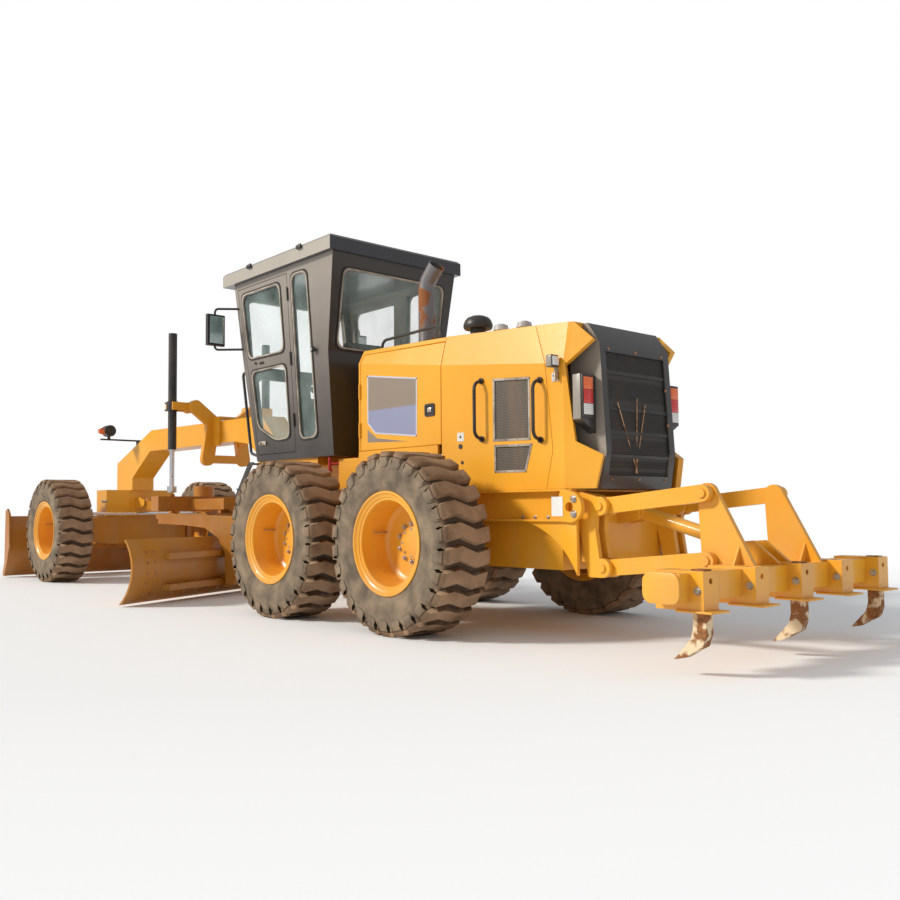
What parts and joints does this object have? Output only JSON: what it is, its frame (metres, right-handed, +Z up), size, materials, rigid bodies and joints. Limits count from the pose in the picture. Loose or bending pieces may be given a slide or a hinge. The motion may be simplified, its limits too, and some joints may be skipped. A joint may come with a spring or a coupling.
{
  "type": "motor grader",
  "caption": "Articulated motor grader with a cab, an engine hood, a turning circle with an angled moldboard, a front dozer blade and a rear ripper.",
  "frame": {"origin": "on the ground, below the middle of the overall length and width", "axes": "+X forward towards the dozer blade, +Y to the machine's left, +Z up"},
  "size_m": [10.53, 3.6461, 3.266],
  "materials": {
    "machine_yellow": "satin",
    "tyre_rubber": "dusty",
    "cab_grey": "satin",
    "roof_black": "satin",
    "cab_glass": "clear",
    "cab_interior_black": "matte",
    "fittings_black": "satin",
    "exhaust_steel": "rusty",
    "cylinder_black": "gloss",
    "rod_chrome": "polished",
    "shank_steel": "worn",
    "engine_iron": "matte"
  },
  "bodies": {
    "rear_frame": {"rear_chassis": "machine_yellow", "tandem_axle": "machine_yellow", "hood_front": "machine_yellow", "hood_middle": "machine_yellow", "hood_rear": "machine_yellow", "grilles": "fittings_black", "rear_lamps": "fittings_black", "exhaust_stack": "exhaust_steel", "hood_fittings": "fittings_black", "engine_block": "engine_iron"},
    "engine_door_left": {"engine_door_left": "machine_yellow"},
    "engine_door_right": {"engine_door_right": "machine_yellow"},
    "front_frame": {"gooseneck": "machine_yellow", "front_axle": "machine_yellow", "cab_shell": "cab_grey", "cab_roof": "roof_black", "cab_glass": "cab_glass", "seat": "cab_interior_black", "console": "cab_interior_black", "lift_saddle": "machine_yellow", "steps_and_rails": "fittings_black", "front_lamps": "fittings_black"},
    "cab_door_left": {"cab_door_left": "cab_grey", "door_glass_left": "cab_glass"},
    "cab_door_right": {"cab_door_right": "cab_grey", "door_glass_right": "cab_glass"},
    "knuckle_left": {"knuckle_left": "machine_yellow"},
    "knuckle_right": {"knuckle_right": "machine_yellow"},
    "tie_rod": {"tie_rod": "rod_chrome"},
    "drawbar": {"drawbar": "machine_yellow"},
    "circle": {"circle": "machine_yellow"},
    "blade_carrier": {"blade_carrier": "machine_yellow"},
    "moldboard": {"moldboard": "machine_yellow"},
    "lift_barrels": {"lift_barrels": "cylinder_black"},
    "lift_rods": {"lift_rods": "rod_chrome"},
    "ripper_lower_links": {"ripper_lower_links": "machine_yellow"},
    "ripper_upper_links": {"ripper_upper_links": "machine_yellow"},
    "ripper": {"ripper_beam": "machine_yellow", "ripper_shanks": "shank_steel"},
    "ripper_barrel": {"ripper_barrel": "machine_yellow"},
    "ripper_rod": {"ripper_rod": "rod_chrome"},
    "dozer_blade": {"dozer_blade": "machine_yellow"},
    "dozer_barrel": {"dozer_barrel": "machine_yellow"},
    "dozer_rod": {"dozer_rod": "rod_chrome"},
    "wheel_front_left": {"tyre_front_left": "tyre_rubber", "rim_front_left": "machine_yellow"},
    "wheel_front_right": {"tyre_front_right": "tyre_rubber", "rim_front_right": "machine_yellow"},
    "wheel_middle_left": {"tyre_middle_left": "tyre_rubber", "rim_middle_left": "machine_yellow"},
    "wheel_middle_right": {"tyre_middle_right": "tyre_rubber", "rim_middle_right": "machine_yellow"},
    "wheel_rear_left": {"tyre_rear_left": "tyre_rubber", "rim_rear_left": "machine_yellow"},
    "wheel_rear_right": {"tyre_rear_right": "tyre_rubber", "rim_rear_right": "machine_yellow"}
  },
  "joints": [
    {"name": "articulation", "type": "hinge", "parent": "rear_frame", "child": "front_frame", "pos_m": [-1.215, 0, 1.08], "axis": [0, 0, 1], "range_deg": [-20, 20]},
    {"name": "wheel_front_left_spin", "type": "hinge", "parent": "knuckle_left", "child": "wheel_front_left", "pos_m": [4.003, 1.06, 0.648], "axis": [0, 1, 0], "continuous": true},
    {"name": "wheel_front_right_spin", "type": "hinge", "parent": "knuckle_right", "child": "wheel_front_right", "pos_m": [4.003, -1.06, 0.648], "axis": [0, 1, 0], "continuous": true},
    {"name": "wheel_middle_left_spin", "type": "hinge", "parent": "rear_frame", "child": "wheel_middle_left", "pos_m": [-1.3515, 1.06, 0.648], "axis": [0, 1, 0], "continuous": true},
    {"name": "wheel_middle_right_spin", "type": "hinge", "parent": "rear_frame", "child": "wheel_middle_right", "pos_m": [-1.3515, -1.06, 0.648], "axis": [0, 1, 0], "continuous": true},
    {"name": "wheel_rear_left_spin", "type": "hinge", "parent": "rear_frame", "child": "wheel_rear_left", "pos_m": [-2.8785, 1.06, 0.648], "axis": [0, 1, 0], "continuous": true},
    {"name": "wheel_rear_right_spin", "type": "hinge", "parent": "rear_frame", "child": "wheel_rear_right", "pos_m": [-2.8785, -1.06, 0.648], "axis": [0, 1, 0], "continuous": true},
    {"name": "steering_left", "type": "hinge", "parent": "front_frame", "child": "knuckle_left", "pos_m": [4.003, 0.76, 0.648], "axis": [0, 0, 1], "range_deg": [-35, 35]},
    {"name": "steering_right", "type": "hinge", "parent": "front_frame", "child": "knuckle_right", "pos_m": [4.003, -0.76, 0.648], "axis": [0, 0, 1], "range_deg": [-35, 35]},
    {"name": "tie_rod_pivot", "type": "hinge", "parent": "knuckle_left", "child": "tie_rod", "pos_m": [3.785, 0.76, 0.86], "axis": [0, 0, 1], "range_deg": [-35, 35]},
    {"name": "cab_door_left_hinge", "type": "hinge", "parent": "front_frame", "child": "cab_door_left", "pos_m": [-0.815, 0.64105, 1.42], "axis": [0.0211, 0.0508, 0.9985], "range_deg": [0, 85]},
    {"name": "cab_door_right_hinge", "type": "hinge", "parent": "front_frame", "child": "cab_door_right", "pos_m": [-0.815, -0.64105, 1.42], "axis": [-0.0211, 0.0508, -0.9985], "range_deg": [0, 85]},
    {"name": "engine_door_left_hinge", "type": "hinge", "parent": "rear_frame", "child": "engine_door_left", "pos_m": [-1.69, 0.565, 1.4], "axis": [0, 0, -1], "range_deg": [0, 80]},
    {"name": "engine_door_right_hinge", "type": "hinge", "parent": "rear_frame", "child": "engine_door_right", "pos_m": [-1.69, -0.565, 1.4], "axis": [0, 0, 1], "range_deg": [0, 80]},
    {"name": "drawbar_pitch", "type": "hinge", "parent": "front_frame", "child": "drawbar", "pos_m": [3.685, 0, 1], "axis": [0, 1, 0], "range_deg": [-3, 9]},
    {"name": "circle_turn", "type": "hinge", "parent": "drawbar", "child": "circle", "pos_m": [1.585, 0, 0.83], "axis": [0, 0, 1], "range_deg": [-60, 10]},
    {"name": "blade_tip", "type": "hinge", "parent": "circle", "child": "blade_carrier", "pos_m": [0.99783, -0.27881, 0.19], "axis": [-0.4289, 0.9033, 0], "range_deg": [0, 30]},
    {"name": "blade_side_shift", "type": "slide", "parent": "blade_carrier", "child": "moldboard", "axis": [-0.4289, 0.9033, 0], "range_m": [-0.65, 0.45]},
    {"name": "lift_barrel_swing", "type": "hinge", "parent": "front_frame", "child": "lift_barrels", "pos_m": [1.735, 0, 2.07], "axis": [0, 1, 0], "range_deg": [-6, 6]},
    {"name": "lift_rod_slide", "type": "slide", "parent": "lift_barrels", "child": "lift_rods", "axis": [0, 0, 1], "range_m": [-0.12, 0.33]},
    {"name": "ripper_lift", "type": "hinge", "parent": "rear_frame", "child": "ripper_lower_links", "pos_m": [-4.162, 0, 0.5], "axis": [0, 1, 0], "range_deg": [-32, 34]},
    {"name": "ripper_upper_swing", "type": "hinge", "parent": "rear_frame", "child": "ripper_upper_links", "pos_m": [-4.145, 0, 0.9], "axis": [0, 1, 0], "range_deg": [-32, 34]},
    {"name": "ripper_level", "type": "hinge", "parent": "ripper_lower_links", "child": "ripper", "pos_m": [-4.884, 0, 0.572], "axis": [0, 1, 0], "range_deg": [-34, 32]},
    {"name": "ripper_barrel_swing", "type": "hinge", "parent": "rear_frame", "child": "ripper_barrel", "pos_m": [-4.115, 0, 0.86], "axis": [0, 1, 0], "range_deg": [-30, 30]},
    {"name": "ripper_rod_slide", "type": "slide", "parent": "ripper_barrel", "child": "ripper_rod", "axis": [0.9611, 0, 0.2763], "range_m": [-0.16, 0.17]},
    {"name": "dozer_lift", "type": "hinge", "parent": "front_frame", "child": "dozer_blade", "pos_m": [4.505, 0, 0.62], "axis": [0, -1, 0], "range_deg": [-6, 35]},
    {"name": "dozer_barrel_swing", "type": "hinge", "parent": "front_frame", "child": "dozer_barrel", "pos_m": [4.435, 0, 1.16], "axis": [0, -1, 0], "range_deg": [-3, 8]},
    {"name": "dozer_rod_slide", "type": "slide", "parent": "dozer_barrel", "child": "dozer_rod", "axis": [-0.59, 0, 0.8074], "range_m": [-0.04, 0.19]}
  ],
  "couplings": [
    {"joint": "steering_right", "follows": "steering_left", "ratio": 1},
    {"joint": "tie_rod_pivot", "follows": "steering_left", "ratio": -1},
    {"joint": "lift_barrel_swing", "follows": "drawbar_pitch", "ratio": -0.3},
    {"joint": "lift_rod_slide", "follows": "drawbar_pitch", "m_per_rad": 1.93},
    {"joint": "ripper_upper_swing", "follows": "ripper_lift", "ratio": 1},
    {"joint": "ripper_level", "follows": "ripper_lift", "ratio": -1},
    {"joint": "ripper_barrel_swing", "follows": "ripper_lift", "ratio": 0.83},
    {"joint": "ripper_rod_slide", "follows": "ripper_lift", "m_per_rad": 0.265},
    {"joint": "dozer_barrel_swing", "follows": "dozer_lift", "ratio": 0.18},
    {"joint": "dozer_rod_slide", "follows": "dozer_lift", "m_per_rad": 0.285}
  ]
}
